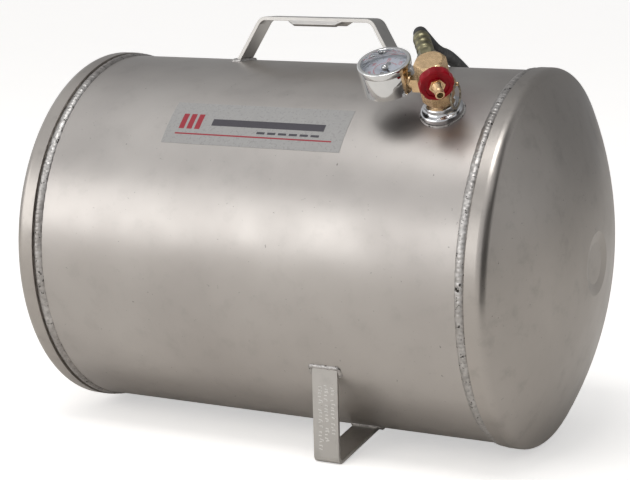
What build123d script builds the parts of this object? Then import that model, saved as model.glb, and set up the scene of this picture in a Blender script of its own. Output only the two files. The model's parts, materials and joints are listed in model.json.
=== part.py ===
from build123d import *
import math
import os

# Portable air receiver tank, in millimetres. +Z is up, X runs along the tank, and its manifold side
# faces -Y. The origin is on the floor, under the middle of the tank.

# Pressure vessel
SHELL_R = 152.0
SHELL_WALL = 3.0
SEAM_X = 191.8
LAP = 7.5
AXIS_Z = 157.5
HEAD_R = 154.6
HEAD_WALL = 2.5
SKIRT = 8.5
KNUCKLE_R = 9.0
DISH = 46.0
RECESS_R = 26.0
RECESS_FLOOR_R = 17.0
RECESS_DEPTH = 2.8
BEAD_W = 8.5
LONG_SEAM_ANGLE = -75.0
LONG_SEAM_W = 6.0
LONG_SEAM_RISE = 1.0

# Handle and feet, bent from strip and welded on
STRIP = 3.2
HANDLE_X = -2.0
HANDLE_W = 22.2
HANDLE_RISE = 38.0
HANDLE_HALF_TOP = 51.5
HANDLE_HALF_BASE = 73.0
HANDLE_BEND = 8.4
WING_ROOT = 52.0
WING_TIP = 39.0
WING_DROP = 4.2
WING_IN = 3.0
FOOT_W = 22.2
FOOT_BEND = 4.9
FOOT_APEX_Y = 123.2
FOOT_LEAN = 4.0
FOOT_SLOPE = 8.8
FOOT_LEG = 90.0
FRONT_FOOT_X = 67.0
REAR_FOOT_X = 135.0
WELD_R = 4.0
WELD_OVERHANG = 2.0

# Label, a thin sheet wrapped on the shell
LABEL_LENGTH = 160.0
LABEL_HEIGHT = 42.4
LABEL_X = -6.0
LABEL_ANGLE = 45.2
LABEL_T = 0.15

# Manifold, on a radial boss forward of the top. Heights are above the shell, along the boss.
PORT_X = 146.0
PORT_ANGLE = 35.5
BOSS_FLANGE_R = 16.8
BOSS_FLANGE_TOP = 4.5
BOSS_COLLAR_R = 12.7
BOSS_WELD_W = 2.2
BOSS_TOP = 10.0
BOSS_SPIGOT_R = 12.0
BOSS_BORE_R = 8.9
BOSS_DEPTH = 8.0
BODY_FLATS = 22.2
BODY_BASE = 13.0
BODY_TOP = 50.5
NECK_R = 10.0
LOW_PORT = 28.0
HIGH_PORT = 42.0
THREAD_R = 5.0
GAUGE_SIDE = 180
RELIEF_SIDE = 0
VALVE_SIDE = -60
HOSE_SIDE = 120
FACE = BODY_FLATS / 2
FIT = 0.05

# Shut-off valve with the fill valve through its spindle. Distances are from the manifold's axis.
SEAT = 1.0
DISC_R = 3.0
DISC_TOP = 2.6
HOLDER_TOP = 4.2
SPINDLE_R = 3.0
BONNET_INNER = 7.0
BONNET_FRONT = 14.4
KNOB_BACK = 15.8
KNOB_FRONT = 23.4
KNOB_R = 13.4
KNOB_LOBES = 8
KNOB_NUT_FRONT = 24.6
STEM_SEAT_R = 4.4
STEM_R = 3.85
STEM_TIP = 35.5
CORE_R = 2.5
CORE_START = 24.5
CORE_TIP = 34.6
PIN_R = 0.6

# Relief valve
RELIEF_BARREL_R = 4.6
RELIEF_FRONT = 15.2
RELIEF_EYE = 16.9
RELIEF_TIP = 18.8
RELIEF_ROD_R = 1.6
RING_R = 9.2
RING_WIRE_R = 0.9

# Pressure gauge, standing left of the manifold with its face outward
GAUGE_OUT = 39.0
GAUGE_CLOCK = -6.0
CASE_R = 20.2
CASE_WALL = 0.8
CASE_BACK = 22.4
CASE_RIM = 44.0
BEZEL_R = 21.0
BEZEL_BACK = 41.0
BEZEL_FRONT = 46.2
LENS_BACK = 43.2
LENS_FRONT = 45.0
DIAL_TOP = 38.2
DIAL_R = 19.2
NEEDLE_LENGTH = 14.5
SOCKET_FLATS = 11.0
ZERO_ANGLE = -45.0
PLATE_LOW = 31.5
PLATE_HIGH = 35.9
PLATE_T = 0.8
ARBOR_R = 0.57
PINION_R = 1.5
SECTOR_R = 8.95
SECTOR_X = 10.5
SECTOR_SWING = 45.0
TAIL_R = 5.0
TAIL_ANGLE = 60.0
LINK_END = (6.5, 13.0)
LINK_LEVEL = 34.4
BOURDON_R = 14.5
DIAL_SCREW_Y = 7.0

# Hose. Distances along the fitting are from the manifold's axis.
HOSE_R = 5.5
BARB_R = 3.2
FITTING_FLATS = 14.0
FERRULE_R = 6.8
FERRULE_START = 20.5
FERRULE_END = 44.0
BARB_END = 37.0
HOSE_START = 21.5
HOSE_FIRST_BEND = 51.0
COIL_X = -25.0
COIL_Y = 222.0
COIL_R = 60.5
COIL_LAYERS = 2
COIL_TURNS = 1.5
TAIL_FERRULE = 41.0
TAIL_END = 62.0
CHUCK_Z = 8.0
CHUCK_R = 8.0
CHUCK_FLATS = 14.0
CHUCK_BORE_R = 3.95
CHUCK_DEPTH = 9.0

RADIAL = math.radians(PORT_ANGLE)
PORT_FRAME = Plane(
    origin=(PORT_X, -SHELL_R * math.sin(RADIAL), AXIS_Z + SHELL_R * math.cos(RADIAL)),
    x_dir=(1, 0, 0),
    z_dir=(0, -math.sin(RADIAL), math.cos(RADIAL)),
).location

# The hose's route once it leaves its fitting: over the tank and down behind it to the coil's first turn
HOSE_ROUTE = [
    (115.7, -55.5, 336.5),
    (112.5, -14.0, 328.5),
    (102.0, 60.0, 319.0),
    (92.0, 125.0, 288.0),
    (83.0, 172.0, 233.5),
    (78.0, 190.0, 168.0),
    (74.0, 194.0, 104.0),
    (64.0, 188.0, 56.0),
    (40.0, 173.0, 27.0),
    (8.0, 163.0, 17.5),
    (-25.0, 161.5, 16.5),
]

written = []


def write(name, shape):
    """Writes one node, and notes its solids and volume for the closing list."""
    solids = list(shape.solids())
    node = solids[0] if len(solids) == 1 else Compound(children=solids)
    node.label = name
    export_step(node, f"parts/{name}.step")
    written.append((name, len(solids), sum(solid.volume for solid in solids)))


def tube(outer, inner, start, end):
    """A tube about +Z, or a solid rod when the inner radius is 0."""
    height = end - start
    base = (Align.CENTER, Align.CENTER, Align.MIN)
    rod = Pos(0, 0, start) * Cylinder(outer, height, align=base)
    if inner:
        rod -= Pos(0, 0, start) * Cylinder(inner, height, align=base)
    return rod


def hexagon(across_flats, start, end):
    """A hexagon bar about +Z, with one flat facing +X."""
    outline = RegularPolygon(across_flats / 2, 6, major_radius=False, rotation=30)
    return extrude(Pos(0, 0, start) * outline, end - start)


def spin(points):
    """Revolves a closed outline of (radius, height) points about +Z."""
    return revolve(make_face(Plane.XZ * Polyline(*points, close=True)), Axis.Z)


def coil_spring(radius, wire, start, end, turns):
    """A compression spring about +Z."""
    rise = end - start - 2 * wire
    path = Pos(0, 0, start + wire) * Helix(rise / turns, rise, radius)
    section = Plane(origin=path @ 0, z_dir=path % 0) * Circle(wire)
    return sweep(section, path=path, is_frenet=True)


def side(angle, height):
    """A port's frame within the manifold: +Z points out of the port and +X away from the tank."""
    turn = math.radians(angle)
    return Plane(origin=(0, 0, height), x_dir=(0, 0, 1), z_dir=(math.cos(turn), math.sin(turn), 0)).location


def on_tank(shape):
    """Moves a manifold piece from the manifold's frame to its place on the tank."""
    return PORT_FRAME * shape


def vessel_cylinder(radius, length=2 * (SEAM_X + LAP)):
    """A solid cylinder on the tank's axis."""
    return Pos(0, 0, AXIS_Z) * Rot(0, 90, 0) * Cylinder(radius, length)


def around(angle):
    """A frame on the tank's axis whose +Z leaves the shell this many degrees forward of the top."""
    return Pos(0, 0, AXIS_Z) * Rot(angle, 0, 0)


# Pressure vessel


def make_shell():
    shell = vessel_cylinder(SHELL_R) - vessel_cylinder(SHELL_R - SHELL_WALL)
    return shell - on_tank(tube(BOSS_SPIGOT_R + FIT, 0, -BOSS_DEPTH, BOSS_TOP))


def head_surface(inset, crown_r, crown_z, turn):
    """Skirt, knuckle and crown curves of a head surface, inset from the outer one, in (radius, height)."""
    knuckle_r = KNUCKLE_R - inset
    centre_r = HEAD_R - KNUCKLE_R
    edge = (HEAD_R - inset, 0)
    bend = (HEAD_R - inset, SKIRT)
    tangent_point = (centre_r + knuckle_r * math.cos(turn), SKIRT + knuckle_r * math.sin(turn))
    knuckle = TangentArc(bend, tangent_point, tangent=(0, 1))
    crown = TangentArc(tangent_point, (0, crown_z + crown_r - inset), tangent=knuckle % 1)
    return Line(edge, bend), knuckle, crown


def make_head():
    """The right head, standing on its skirt edge about +Z."""
    reach = HEAD_R - KNUCKLE_R
    crown_r = (reach**2 + DISH**2 - KNUCKLE_R**2) / (2 * (DISH - KNUCKLE_R))
    crown_z = SKIRT + DISH - crown_r
    turn = math.atan2(SKIRT - crown_z, reach)
    outer = head_surface(0, crown_r, crown_z, turn)
    inner = head_surface(HEAD_WALL, crown_r, crown_z, turn)
    rim = Line(outer[0] @ 0, inner[0] @ 0)
    pole = Line(outer[2] @ 1, inner[2] @ 1)
    profile = make_face([Plane.XZ * line for line in (*outer, *inner, rim, pole)])
    top = SKIRT + DISH
    edge = top - (crown_r - math.sqrt(crown_r**2 - RECESS_R**2))
    floor = top - RECESS_DEPTH
    recess = spin([(0, floor), (RECESS_FLOOR_R, floor), (RECESS_R, edge), (RECESS_R, top + 1), (0, top + 1)])
    within = edge - HEAD_WALL / 2
    pressed = spin(
        [
            (0, floor - HEAD_WALL),
            (RECESS_FLOOR_R, floor - HEAD_WALL),
            (RECESS_R, edge - HEAD_WALL),
            (RECESS_R, within),
            (0, within),
        ]
    )
    return revolve(profile, Axis.Z) + pressed - recess


def make_heads():
    head = make_head()
    write("right_head", Pos(SEAM_X, 0, AXIS_Z) * Rot(0, 90, 0) * head)
    write("left_head", Pos(-SEAM_X, 0, AXIS_Z) * Rot(0, -90, 0) * head)


def make_girth_welds():
    """A crowned bead that fills the step between the shell and the head's edge."""
    foot = (SHELL_R, -BEAD_W)
    toe = (HEAD_R + 0.3, 0)
    crown = ThreePointArc(foot, (SHELL_R + 1.9, -0.55 * BEAD_W), toe)
    outline = [crown, Line(toe, (SHELL_R, 0)), Line((SHELL_R, 0), foot)]
    bead = revolve(make_face([Plane.XZ * line for line in outline]), Axis.Z)
    write("girth_weld_right", Pos(SEAM_X, 0, AXIS_Z) * Rot(0, 90, 0) * bead)
    write("girth_weld_left", Pos(-SEAM_X, 0, AXIS_Z) * Rot(0, -90, 0) * bead)


def make_long_seam():
    length = 2 * (SEAM_X - BEAD_W)
    skin = vessel_cylinder(SHELL_R + LONG_SEAM_RISE, length) - vessel_cylinder(SHELL_R, length)
    return skin & (around(LONG_SEAM_ANGLE) * Pos(0, 0, SHELL_R) * Box(length, LONG_SEAM_W, 8))


def make_label():
    skin = vessel_cylinder(SHELL_R + LABEL_T) - vessel_cylinder(SHELL_R)
    return skin & (around(LABEL_ANGLE) * Pos(LABEL_X, 0, SHELL_R) * Box(LABEL_LENGTH, LABEL_HEIGHT, 10))


# Handle and feet


def bent_strip(points, bend, width):
    """A strip bent along a line in its own XY plane, with its width along Z."""
    line = FilletPolyline(*points, radius=bend)
    return extrude(make_face(offset(line, amount=STRIP / 2, side=Side.BOTH)), amount=width / 2, both=True)


def make_handle():
    top = AXIS_Z + SHELL_R + HANDLE_RISE - STRIP / 2
    base = AXIS_Z + SHELL_R
    slope = (HANDLE_HALF_BASE - HANDLE_HALF_TOP) / (top - base)
    sunk = 4.0
    half_sunk = HANDLE_HALF_BASE + slope * sunk
    points = [
        (-half_sunk, base - sunk),
        (-HANDLE_HALF_TOP, top),
        (HANDLE_HALF_TOP, top),
        (half_sunk, base - sunk),
    ]
    strip = Rot(90, 0, 0) * bent_strip(points, HANDLE_BEND, HANDLE_W)
    underside = top - STRIP / 2
    wing = make_face(
        Polyline(
            (-WING_ROOT / 2, 0),
            (-WING_TIP / 2, -WING_DROP),
            (WING_TIP / 2, -WING_DROP),
            (WING_ROOT / 2, 0),
            close=True,
        )
    )
    lean = math.degrees(math.atan2(WING_IN, WING_DROP))
    for edge in (-1, 1):
        fold = Pos(0, edge * (HANDLE_W - STRIP) / 2, underside) * Rot(90 + edge * lean, 0, 0)
        strip += fold * extrude(wing, amount=STRIP / 2, both=True)
    return Pos(HANDLE_X, 0, 0) * strip - vessel_cylinder(SHELL_R)


def make_handle_welds(handle):
    """A fillet bead round the bottom of each leg."""
    beads = []
    for end in (-1, 1):
        bead = Pos(HANDLE_X + end * HANDLE_HALF_BASE, 0, AXIS_Z + SHELL_R) * Rot(90, 0, 0)
        bead *= Cylinder(WELD_R, HANDLE_W + 2 * WELD_OVERHANG)
        beads.append(bead - handle - vessel_cylinder(SHELL_R))
    return Compound(children=[solid for bead in beads for solid in bead.solids()])


def foot_line():
    """The foot strip's middle line in (outward, up), its bend resting on the floor."""
    lean = math.radians(FOOT_LEAN)
    slope = math.radians(FOOT_SLOPE)
    half = (math.pi / 2 + lean - slope) / 2
    middle = (math.pi / 2 + lean + slope) / 2
    apex_z = FOOT_BEND + STRIP / 2 - FOOT_BEND * math.sin(middle) / math.sin(half)
    leg_top = (FOOT_APEX_Y + FOOT_LEG * math.sin(lean), apex_z + FOOT_LEG * math.cos(lean))
    leg_end = (FOOT_APEX_Y - FOOT_LEG * math.cos(slope), apex_z + FOOT_LEG * math.sin(slope))
    return [leg_top, (FOOT_APEX_Y, apex_z), leg_end]


def shell_crossing(inside, outside):
    """Where a line from inside the shell to a point outside crosses it, in (outward, up)."""
    low, high = 0.0, 1.0
    for _ in range(30):
        share = (low + high) / 2
        spot = [a + share * (b - a) for a, b in zip(inside, outside)]
        if math.hypot(spot[0], spot[1] - AXIS_Z) < SHELL_R:
            low = share
        else:
            high = share
    return spot


def make_foot_with_welds(x, front):
    """One foot and the beads round its two ends. The rear feet are the front one turned about."""
    line = foot_line()
    facing = Pos(x, 0, 0) * Rot(0, 0, -90 if front else 90) * Rot(90, 0, 0)
    foot = facing * bent_strip(line, FOOT_BEND, FOOT_W) - vessel_cylinder(SHELL_R)
    beads = []
    for end in (line[0], line[2]):
        spot = shell_crossing(end, line[1])
        bead = facing * Pos(*spot, 0) * Cylinder(WELD_R, FOOT_W + 2 * WELD_OVERHANG)
        beads += (bead - foot - vessel_cylinder(SHELL_R)).solids()
    return foot, beads


def make_feet():
    beads = []
    places = {
        "foot_front": (FRONT_FOOT_X, True),
        "foot_rear_left": (-REAR_FOOT_X, False),
        "foot_rear_right": (REAR_FOOT_X, False),
    }
    for name, (x, front) in places.items():
        foot, foot_beads = make_foot_with_welds(x, front)
        beads += foot_beads
        write(name, foot)
    write("foot_welds", Compound(children=beads))


# Boss and manifold body


def make_boss():
    """A turned bung: spigot through the shell, flange on it, cove and collar."""
    turned = spin(
        [
            (BOSS_BORE_R, -2),
            (BOSS_FLANGE_R, -2),
            (BOSS_FLANGE_R, BOSS_FLANGE_TOP - 1),
            (BOSS_FLANGE_R - 1, BOSS_FLANGE_TOP),
            (BOSS_COLLAR_R + 1.5, BOSS_FLANGE_TOP + 0.6),
            (BOSS_COLLAR_R, BOSS_FLANGE_TOP + 2),
            (BOSS_COLLAR_R, BOSS_TOP - 0.8),
            (BOSS_COLLAR_R - 0.8, BOSS_TOP),
            (BOSS_BORE_R, BOSS_TOP),
        ]
    )
    outside = on_tank(turned) - vessel_cylinder(SHELL_R)
    return outside + on_tank(tube(BOSS_SPIGOT_R, BOSS_BORE_R, -BOSS_DEPTH, 1))


def make_boss_weld():
    toe = BOSS_FLANGE_R + BOSS_WELD_W
    bead = spin([(BOSS_FLANGE_R, -3), (toe, -3), (toe - 0.4, 0.4), (BOSS_FLANGE_R, 2.2)])
    return on_tank(bead) - vessel_cylinder(SHELL_R)


def make_manifold_body():
    """Hexagon bar with a chamfered top, a neck that screws into the boss, and drilled ports."""
    corner = BODY_FLATS / math.sqrt(3)
    envelope = spin(
        [
            (0, BODY_BASE),
            (corner - 1.4, BODY_BASE),
            (corner, BODY_BASE + 0.8),
            (corner, BODY_TOP - 1.6),
            (corner - 2.8, BODY_TOP),
            (0, BODY_TOP),
        ]
    )
    body = hexagon(BODY_FLATS, BODY_BASE, BODY_TOP) & envelope
    body += tube(NECK_R, 0, BOSS_TOP, BODY_BASE)
    body += tube(BOSS_BORE_R - FIT, 0, -BOSS_DEPTH, BOSS_TOP)
    body -= tube(4.0, 0, -BOSS_DEPTH, LOW_PORT + 6)
    for angle in (GAUGE_SIDE, RELIEF_SIDE):
        body -= side(angle, LOW_PORT) * tube(THREAD_R, 0, 4.5, FACE + 2)
        body -= side(angle, LOW_PORT) * tube(2.0, 0, 0, 5)
    valve = side(VALVE_SIDE, HIGH_PORT)
    body -= valve * tube(THREAD_R, 0, SEAT, FACE + 2)
    body -= valve * tube(2.0, 0, -FACE, SEAT)
    body -= side(HOSE_SIDE, HIGH_PORT) * tube(THREAD_R, 0, 4.0, FACE + 2)
    feed = math.radians(VALVE_SIDE)
    body -= Pos(4.6 * math.cos(feed), 4.6 * math.sin(feed), 0) * tube(1.5, 0, LOW_PORT, HIGH_PORT)
    return body


# Shut-off and fill valve


def make_valve():
    valve = PORT_FRAME * side(VALVE_SIDE, HIGH_PORT)
    bore = SPINDLE_R + FIT
    bonnet = tube(THREAD_R - FIT, bore, BONNET_INNER, FACE) + (
        hexagon(13.0, FACE, BONNET_FRONT) - tube(bore, 0, FACE, BONNET_FRONT)
    )
    bonnet -= tube(SPINDLE_R + 1.1, 0, 8.6, 10.4)
    write("bonnet_nut", valve * bonnet)
    write("packing_ring", valve * tube(SPINDLE_R + 1.05, bore, 8.7, 10.3))
    write("seat_disc", valve * tube(DISC_R, 0, SEAT + 0.02, DISC_TOP))
    holder = tube(DISC_R + 0.5, 0, DISC_TOP, HOLDER_TOP)
    holder -= tube(SPINDLE_R - 0.9, 0, HOLDER_TOP - 0.8, HOLDER_TOP)
    write("disc_holder", valve * holder)
    spindle = spin(
        [
            (0, HOLDER_TOP - 0.75),
            (SPINDLE_R - 1, HOLDER_TOP - 0.75),
            (SPINDLE_R - 1, HOLDER_TOP + 0.3),
            (SPINDLE_R, HOLDER_TOP + 0.6),
            (SPINDLE_R, KNOB_BACK + 0.5),
            (STEM_SEAT_R, KNOB_BACK + 1),
            (STEM_SEAT_R, KNOB_NUT_FRONT),
            (STEM_R, KNOB_NUT_FRONT),
            (STEM_R, STEM_TIP - 4),
            (STEM_R - 0.25, STEM_TIP - 3.5),
            (STEM_R - 0.25, STEM_TIP - 0.4),
            (STEM_R - 0.65, STEM_TIP),
            (0, STEM_TIP),
        ]
    )
    spindle -= tube(CORE_R + FIT, 0, KNOB_FRONT - 2, STEM_TIP)
    spindle -= tube(1.2, 0, HOLDER_TOP + 0.9, KNOB_FRONT)
    write("valve_spindle", valve * spindle)
    write("valve_knob", valve * make_knob())
    nut = hexagon(11.0, KNOB_FRONT, KNOB_NUT_FRONT) - tube(STEM_SEAT_R + FIT, 0, KNOB_FRONT, KNOB_NUT_FRONT)
    write("knob_nut", valve * nut)
    make_fill_valve(valve)


def make_knob():
    """A lobed wheel with a dished face, a hollow back and a bored hub."""
    knob = tube(KNOB_R, 0, KNOB_BACK, KNOB_FRONT)
    knob = chamfer(knob.edges().filter_by(GeomType.CIRCLE), 1.0)
    for lobe in range(KNOB_LOBES):
        scallop = Rot(0, 0, 360 / KNOB_LOBES * (lobe + 0.5)) * Pos(KNOB_R + 5.0, 0, 0)
        knob -= scallop * tube(6.0, 0, KNOB_BACK - 1, KNOB_FRONT + 1)
    knob -= tube(KNOB_R - 3.6, 6.4, KNOB_FRONT - 1.0, KNOB_FRONT)
    knob -= tube(KNOB_R - 3.0, 5.5, KNOB_BACK, KNOB_BACK + 3.5)
    knob -= tube(STEM_SEAT_R + FIT, 0, KNOB_BACK, KNOB_FRONT)
    return knob


def make_fill_valve(valve):
    """The tyre-valve core that screws into the end of the spindle."""
    core = tube(CORE_R, 1.7, CORE_START, CORE_TIP)
    core += tube(1.75, PIN_R + FIT, CORE_START, CORE_START + 1.2)
    core += tube(1.75, PIN_R + FIT, CORE_TIP - 1.0, CORE_TIP)
    write("fill_core", valve * core)
    pin = tube(PIN_R, 0, CORE_START - 0.1, STEM_TIP - 0.2)
    pin += tube(1.6, 0, CORE_START - 1.2, CORE_START - 0.1)
    pin += tube(1.3, 0, CORE_TIP - 2.6, CORE_TIP - 2.1)
    write("fill_pin", valve * pin)
    spring = coil_spring(1.05, 0.2, CORE_START + 1.25, CORE_TIP - 2.65, 6)
    write("fill_spring", valve * spring)


# Relief valve


def make_relief_valve():
    relief = PORT_FRAME * side(RELIEF_SIDE, LOW_PORT)
    bore = RELIEF_BARREL_R - 1.0
    body = tube(THREAD_R - FIT, 0, 4.6, FACE)
    body += hexagon(12.0, FACE, 13.6) + tube(RELIEF_BARREL_R, 0, 13.6, RELIEF_FRONT)
    body -= tube(bore, 0, 5.6, RELIEF_FRONT - 1.2)
    body -= tube(1.8, 0, 4.6, 5.6)
    body -= tube(RELIEF_ROD_R + FIT, 0, RELIEF_FRONT - 1.2, RELIEF_FRONT)
    write("relief_body", relief * body)
    write("relief_seal", relief * (tube(2.9, 0, 5.62, 6.6)))
    eye = Pos(0, 0, RELIEF_EYE) * hole_across()
    stem = tube(3.2, 0, 6.6, 7.6) + tube(RELIEF_ROD_R, 0, 7.6, RELIEF_TIP)
    write("relief_stem", relief * (stem - eye))
    write("relief_spring", relief * coil_spring(2.5, 0.35, 7.65, RELIEF_FRONT - 1.25, 4))
    eye_place = (relief * Pos(0, 0, RELIEF_EYE)).position
    ring = Pos(eye_place.X, eye_place.Y, eye_place.Z - RING_R) * Rot(0, 90, 0) * Torus(RING_R, RING_WIRE_R)
    write("pull_ring", ring)


def hole_across():
    """The ring's hole through the stem. It lies level, along the world's Y, whatever the port's lean."""
    return Rot(0, 0, -PORT_ANGLE) * Rot(90, 0, 0) * Cylinder(RING_WIRE_R + 0.25, 8)


# Pressure gauge


def make_gauge():
    """The gauge, screwed in to where its thread tightened, its face a little higher than the body's."""
    clocked = Pos(0, 0, LOW_PORT) * Rot(GAUGE_CLOCK, 0, 0) * Pos(0, 0, -LOW_PORT)
    gauge = PORT_FRAME * clocked * Pos(-GAUGE_OUT, 0, 0)
    stem = PORT_FRAME * clocked * side(GAUGE_SIDE, LOW_PORT)
    case = tube(CASE_R, CASE_R - CASE_WALL, CASE_BACK, CASE_RIM)
    case += tube(CASE_R, 0, CASE_BACK, CASE_BACK + CASE_WALL)
    write("gauge_case", gauge * case - stem * tube(5.6, 0, 15, 26))
    bezel = tube(BEZEL_R, CASE_R + 0.02, BEZEL_BACK, CASE_RIM)
    bezel += tube(BEZEL_R, 18.0, CASE_RIM + 1.0, BEZEL_FRONT)
    bezel += tube(BEZEL_R, CASE_R + 0.02, CASE_RIM, CASE_RIM + 1.0)
    front_edges = bezel.edges().filter_by(GeomType.CIRCLE).group_by(Axis.Z)[-1]
    bezel = fillet(front_edges.sort_by(SortBy.RADIUS)[-1], 1.0)
    write("gauge_bezel", gauge * bezel)
    write("gauge_lens", gauge * tube(CASE_R - CASE_WALL - 0.1, 0, LENS_BACK, LENS_FRONT))
    dial = tube(DIAL_R, 2.0, DIAL_TOP - 0.6, DIAL_TOP)
    for screw in (-1, 1):
        dial -= Pos(0, screw * DIAL_SCREW_Y, 0) * tube(1.05, 0, DIAL_TOP - 1, DIAL_TOP)
    write("gauge_dial", gauge * dial)
    write("gauge_needle", gauge * make_needle())
    write("dial_screws", gauge * make_dial_screws())
    write("gauge_socket", make_socket(stem))
    make_movement(gauge)


def make_needle():
    """A tapered pointer on a hub, at rest pointing to zero at the lower left of the dial."""
    base = DIAL_TOP + 1.2
    tail, tip = -4.5, NEEDLE_LENGTH
    outline = Polyline((tail, 0.9), (2, 0.9), (tip, 0.15), (tip, -0.15), (2, -0.9), (tail, -0.9), close=True)
    needle = extrude(Pos(0, 0, base) * make_face(outline), 0.4)
    needle += tube(2.2, 0, base - 0.4, base + 1.2)
    return Rot(0, 0, ZERO_ANGLE) * (needle - tube(ARBOR_R, 0, base - 0.4, base + 0.8))


def make_dial_screws():
    screws = []
    for end in (-1, 1):
        shank = tube(1.0, 0, PLATE_HIGH + 0.1, DIAL_TOP)
        head = tube(1.8, 0, DIAL_TOP, DIAL_TOP + 0.9) - Pos(0, 0, DIAL_TOP + 0.9) * Box(4, 0.5, 0.8)
        screws += (Pos(0, end * DIAL_SCREW_Y, 0) * (shank + head)).solids()
    return Compound(children=screws)


def make_socket(stem):
    """The brass socket: thread into the manifold, wrench flats, and the block inside the case."""
    shoulder = GAUGE_OUT - CASE_R - 1.2
    socket = tube(THREAD_R - FIT, 0, 5.0, FACE)
    socket += Pos(0, 0, (FACE + shoulder) / 2) * Box(SOCKET_FLATS, SOCKET_FLATS, shoulder - FACE)
    socket += tube(THREAD_R + 0.4, 0, shoulder, 21.0)
    socket += Pos(0, 0, 23.5) * Box(7.0, 12.0, 5.0)
    return stem * (socket - tube(1.2, 0, 5.0, 24.0))


def make_bourdon():
    """A flattened tube bent round the case, closed at its tip, which carries the link's pin."""
    arc = Pos(0, 0, LOW_PORT) * CenterArc((0, 0), BOURDON_R, -28, -272)
    section = Plane(origin=arc @ 0, x_dir=(0, 0, 1), z_dir=arc % 0) * RectangleRounded(5.0, 1.6, 0.7)
    foot = Pos(BOURDON_R - 0.6, -7.0, LOW_PORT) * Box(3.0, 2.0, 4.0)
    pin = Pos(*LINK_END, 0) * tube(0.6, 0, LOW_PORT, LINK_LEVEL - 0.2)
    return sweep(section, path=arc) + foot + pin


def make_movement_frame():
    """Two plates on posts, with spacers for the dial on the upper plate."""
    lower = Pos(6.0, 0, PLATE_LOW) * Box(20.0, 19.0, PLATE_T, align=(Align.CENTER, Align.CENTER, Align.MIN))
    upper = Pos(5.5, 0, PLATE_HIGH) * Box(19.0, 19.0, PLATE_T, align=(Align.CENTER, Align.CENTER, Align.MIN))
    frame = lower + upper
    for x, y in ((-3.0, 8.0), (-3.0, -8.0), (14.0, -7.5)):
        frame += Pos(x, y, 0) * tube(1.0, 0, PLATE_LOW, PLATE_HIGH + 0.1)
    for end in (-1, 1):
        screw = Pos(0, end * DIAL_SCREW_Y, 0)
        frame += screw * tube(2.0, 0, PLATE_HIGH, DIAL_TOP - 0.6)
        frame -= screw * tube(1.05, 0, PLATE_HIGH, DIAL_TOP)
    for x in (0, SECTOR_X):
        frame -= Pos(x, 0, 0) * tube(ARBOR_R + FIT, 0, PLATE_LOW - 1, PLATE_HIGH + 2)
    return frame


def make_sector():
    """The toothed segment, its tail and its arbor. The mesh with the pinion starts at one end of its arc."""
    level, height = 33.0, 1.2
    points = []
    for step in range(9):
        angle = math.radians(186 - (SECTOR_SWING + 12) * step / 8)
        points.append((SECTOR_R * math.cos(angle), SECTOR_R * math.sin(angle)))
    segment = extrude(Pos(0, 0, level) * make_face(Polyline((0, 0), *points, close=True)), height)
    segment &= tube(SECTOR_R, 0, level, level + height)
    tail_x = TAIL_R * math.cos(math.radians(TAIL_ANGLE))
    tail_y = TAIL_R * math.sin(math.radians(TAIL_ANGLE))
    arm = Pos(tail_x / 2, tail_y / 2, level + height / 2) * Rot(0, 0, TAIL_ANGLE) * Box(TAIL_R, 1.8, height)
    pin = Pos(tail_x, tail_y, 0) * (tube(1.0, 0, level, level + height) + tube(0.45, 0, level, level + 2.0))
    sector = segment + arm + pin + tube(1.3, 0, level, level + height)
    return Pos(SECTOR_X, 0, 0) * (sector + tube(ARBOR_R, 0, PLATE_LOW - 0.2, PLATE_HIGH + PLATE_T + 0.2))


def make_link():
    """The strip from the sector's tail to the Bourdon tube's tip."""
    start = Vector(
        SECTOR_X + TAIL_R * math.cos(math.radians(TAIL_ANGLE)),
        TAIL_R * math.sin(math.radians(TAIL_ANGLE)),
    )
    span = Vector(*LINK_END) - start
    angle = math.degrees(math.atan2(span.Y, span.X))
    level, height = LINK_LEVEL, 0.5
    bar = Pos(span.length / 2, 0, level + height / 2) * Box(span.length, 1.4, height)
    bar += tube(1.1, 0, level, level + height) + Pos(span.length, 0, 0) * tube(1.1, 0, level, level + height)
    return Pos(start.X, start.Y, 0) * Rot(0, 0, angle) * (bar - tube(0.5, 0, level, level + height))


def make_movement(gauge):
    """Bourdon tube, link, sector and pinion on a two-plate frame. The needle sits on the pinion's arbor."""
    write("bourdon_tube", gauge * make_bourdon())
    write("movement_frame", gauge * make_movement_frame())
    write("sector_gear", gauge * make_sector())
    write("gauge_link", gauge * make_link())
    pinion = tube(ARBOR_R, 0, PLATE_LOW - 0.2, DIAL_TOP + 2.0) + tube(PINION_R, 0, 32.9, 34.6)
    write("pinion_arbor", gauge * pinion)


# Hose


def ribbed_ferrule(start, end):
    """A crimped sleeve over the hose's end, with three raised ribs."""
    points = [(HOSE_R + 0.1, start), (FERRULE_R - 0.9, start), (FERRULE_R - 0.5, start + 0.6)]
    rib_pitch = (end - start - 2) / 3
    for rib in range(3):
        low = start + 1 + rib_pitch * rib
        points += [
            (FERRULE_R - 0.5, low + 0.2 * rib_pitch),
            (FERRULE_R, low + 0.35 * rib_pitch),
            (FERRULE_R, low + 0.65 * rib_pitch),
            (FERRULE_R - 0.5, low + 0.8 * rib_pitch),
        ]
    points += [(FERRULE_R - 0.5, end - 0.5), (FERRULE_R - 0.9, end), (HOSE_R + 0.1, end)]
    return spin(points)


def corner_radii(route):
    """Each corner's arc: 0.45 of its shorter run, over the tangent of half its turn."""
    radii = []
    for before, corner, after in zip(route, route[1:], route[2:]):
        run_in = Vector(*corner) - Vector(*before)
        run_out = Vector(*after) - Vector(*corner)
        half_turn = math.radians(run_in.get_angle(run_out) / 2)
        radii.append(0.45 * min(run_in.length, run_out.length) / math.tan(half_turn))
    return radii


def coil_keep_out():
    """The coil's outside, extended upwards, which the tubes that join it stop at."""
    return Pos(COIL_X, COIL_Y, 0) * tube(COIL_R + HOSE_R + FIT, 0, 0, 60)


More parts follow.
